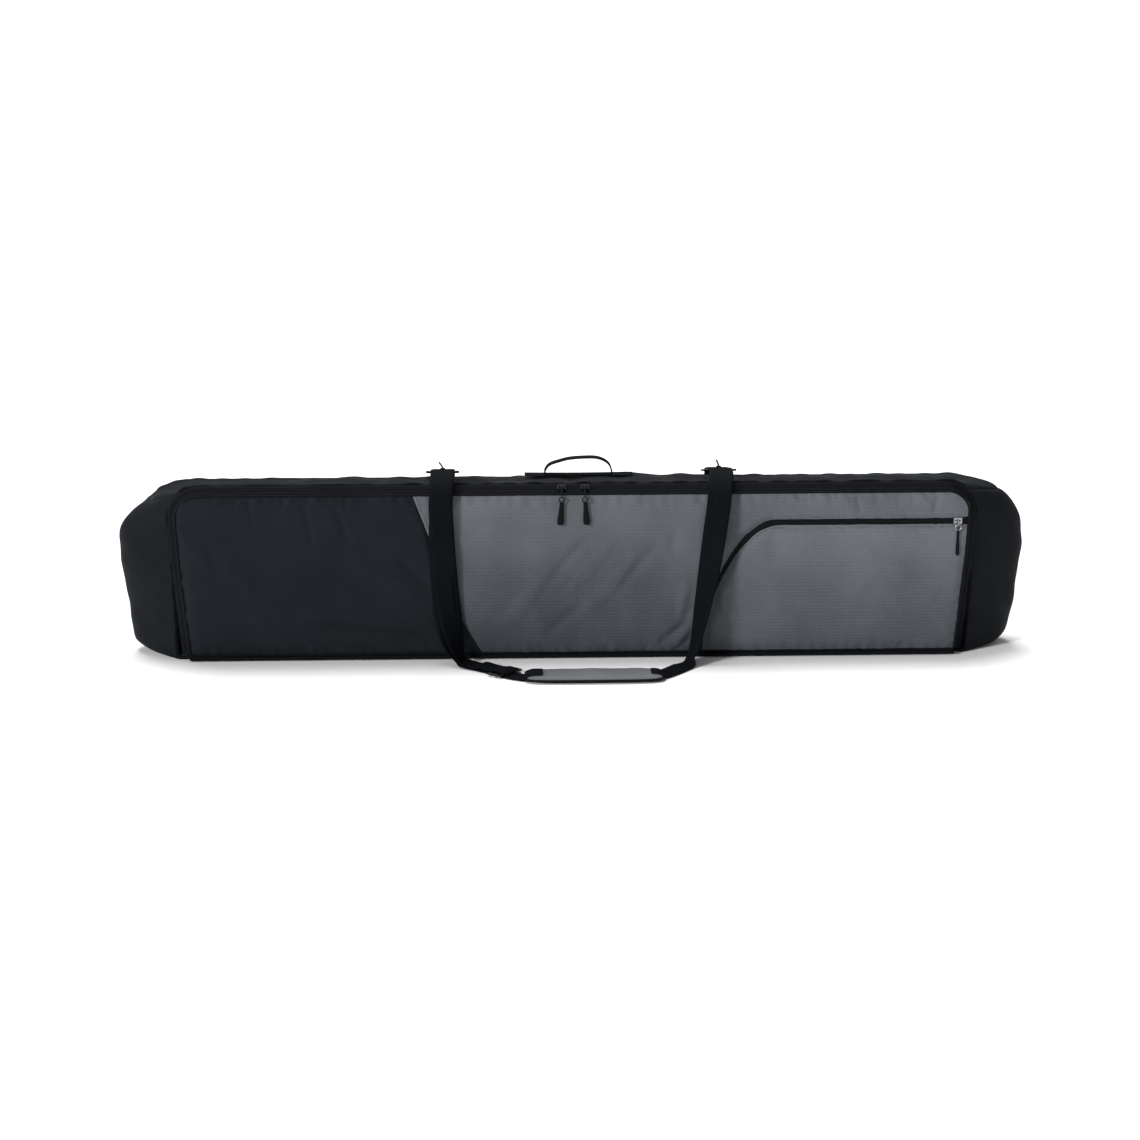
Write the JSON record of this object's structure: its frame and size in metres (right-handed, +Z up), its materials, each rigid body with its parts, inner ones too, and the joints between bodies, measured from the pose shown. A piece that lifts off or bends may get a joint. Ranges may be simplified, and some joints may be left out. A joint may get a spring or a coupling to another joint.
{
  "type": "snowboard bag",
  "caption": "Long padded fabric bag with a bottom-hinged zip-round front lid, zipped front pocket, carry handle and a clip-on webbing shoulder strap with a pad, for carrying a snowboard.",
  "frame": {"origin": "on the floor, under the middle of the bag's long bottom face", "axes": "+X along the bag towards its pocket end, -Y out of the front lid, +Z up"},
  "size_m": [1.648, 0.3185, 0.357],
  "materials": {
    "dark_fabric": "matte",
    "grey_fabric": "satin",
    "piping": "satin",
    "foam": "matte",
    "lining": "matte",
    "zip_tape": "matte",
    "zip_coil": "satin",
    "slider_black": "gloss",
    "slider_chrome": "polished",
    "pull_plastic": "satin",
    "webbing": "matte",
    "steel": "gloss",
    "plastic": "satin",
    "pad_top": "satin",
    "pad_base": "matte"
  },
  "bodies": {
    "shell": {"top_gusset": "dark_fabric", "bottom_gusset": "dark_fabric", "left_end_cap": "dark_fabric", "right_end_cap": "dark_fabric", "top_gusset_foam": "foam", "bottom_gusset_foam": "foam", "left_gusset_foam": "foam", "right_gusset_foam": "foam", "gusset_lining": "lining", "back_lining": "lining", "back_foam": "foam", "back_panel": "dark_fabric", "back_piping": "piping", "hinge_piping": "piping", "hinge_strip": "dark_fabric", "zip_tape_body": "zip_tape", "zip_coil_body": "zip_coil", "handle_patches": "webbing", "d_ring_anchors": "webbing", "tie_downs": "webbing", "tie_down_buckles": "plastic"},
    "lid": {"lid_dark_panel": "dark_fabric", "lid_grey_panel": "grey_fabric", "pocket_panel": "grey_fabric", "pocket_backing": "lining", "pocket_zip_tape": "zip_tape", "pocket_zip_coil": "zip_coil", "lid_foam": "foam", "lid_lining": "lining", "lid_piping": "piping", "zip_tape_lid": "zip_tape", "zip_coil_lid": "zip_coil"},
    "slider_left": {"zip_slider_left": "slider_black"},
    "slider_right": {"zip_slider_right": "slider_black"},
    "pull_left": {"zip_pull_left_link": "slider_black", "zip_pull_left_tab": "pull_plastic"},
    "pull_right": {"zip_pull_right_link": "slider_black", "zip_pull_right_tab": "pull_plastic"},
    "pocket_slider": {"pocket_slider": "slider_chrome"},
    "pocket_pull": {"pocket_pull_link": "slider_chrome", "pocket_pull_tab": "pull_plastic"},
    "handle": {"carry_handle": "webbing"},
    "hardware": {"d_ring_left": "steel", "d_ring_right": "steel", "snap_hook_left": "steel", "snap_hook_right": "steel", "swivel_loop_left": "steel", "swivel_loop_right": "steel"},
    "gate_left": {"hook_gate_left": "steel"},
    "gate_right": {"hook_gate_right": "steel"},
    "strap": {"strap_drop_left": "webbing", "strap_drop_right": "webbing", "strap_run_left": "webbing", "strap_run_right": "webbing", "strap_run_middle": "webbing"},
    "adjuster": {"strap_adjuster": "plastic"},
    "pad": {"pad_base": "pad_base", "pad_foam": "foam", "pad_top": "pad_top", "pad_keepers": "webbing"}
  },
  "joints": [
    {"name": "lid_open", "type": "hinge", "parent": "shell", "child": "lid", "pos_m": [0, -0.078, 0.006], "axis": [1, 0, 0], "range_deg": [0, 86]},
    {"name": "left_zip", "type": "slide", "parent": "lid", "child": "slider_left", "axis": [-1, 0, 0], "range_m": [0, 0.63]},
    {"name": "right_zip", "type": "slide", "parent": "lid", "child": "slider_right", "axis": [1, 0, 0], "range_m": [0, 0.63]},
    {"name": "left_pull", "type": "hinge", "parent": "slider_left", "child": "pull_left", "pos_m": [-0.022, -0.07095, 0.32095], "axis": [-1, 0, 0], "range_deg": [0, 110]},
    {"name": "right_pull", "type": "hinge", "parent": "slider_right", "child": "pull_right", "pos_m": [0.02, -0.07095, 0.32095], "axis": [-1, 0, 0], "range_deg": [0, 110]},
    {"name": "pocket_zip", "type": "slide", "parent": "lid", "child": "pocket_slider", "axis": [-1, 0, 0], "range_m": [0, 0.33]},
    {"name": "pocket_pull", "type": "hinge", "parent": "pocket_slider", "child": "pocket_pull", "pos_m": [0.694, -0.0814, 0.252], "axis": [-1, 0, 0], "range_deg": [0, 150]},
    {"name": "handle_swing", "type": "hinge", "parent": "shell", "child": "handle", "pos_m": [0.011, 0.01, 0.33], "axis": [1, 0, 0], "range_deg": [-65, 65]},
    {"name": "ring_swing", "type": "hinge", "parent": "shell", "child": "hardware", "pos_m": [0, 0.056, 0.32], "axis": [-1, 0, 0], "range_deg": [0, 95]},
    {"name": "left_gate", "type": "hinge", "parent": "hardware", "child": "gate_left", "pos_m": [-0.236, 0.02118, 0.33387], "axis": [-1, 0, 0], "range_deg": [0, 12], "stiffness_Nm_per_rad": 0.02},
    {"name": "right_gate", "type": "hinge", "parent": "hardware", "child": "gate_right", "pos_m": [0.268, 0.02118, 0.33387], "axis": [-1, 0, 0], "range_deg": [0, 12], "stiffness_Nm_per_rad": 0.02},
    {"name": "strap_swing", "type": "hinge", "parent": "hardware", "child": "strap", "pos_m": [0, -0.00453, 0.33342], "axis": [-1, 0, 0], "range_deg": [0, 140], "deforming": ["strap_drop_left", "strap_drop_right"]},
    {"name": "adjuster_slide", "type": "slide", "parent": "strap", "child": "adjuster", "axis": [0.7359, -0.6771, 0], "range_m": [-0.025, 0.01]},
    {"name": "pad_slide", "type": "slide", "parent": "strap", "child": "pad", "axis": [1, 0, 0], "range_m": [-0.015, 0.015]}
  ],
  "couplings": [
    {"joint": "strap_swing", "follows": "lid_open", "ratio": 1.6}
  ]
}
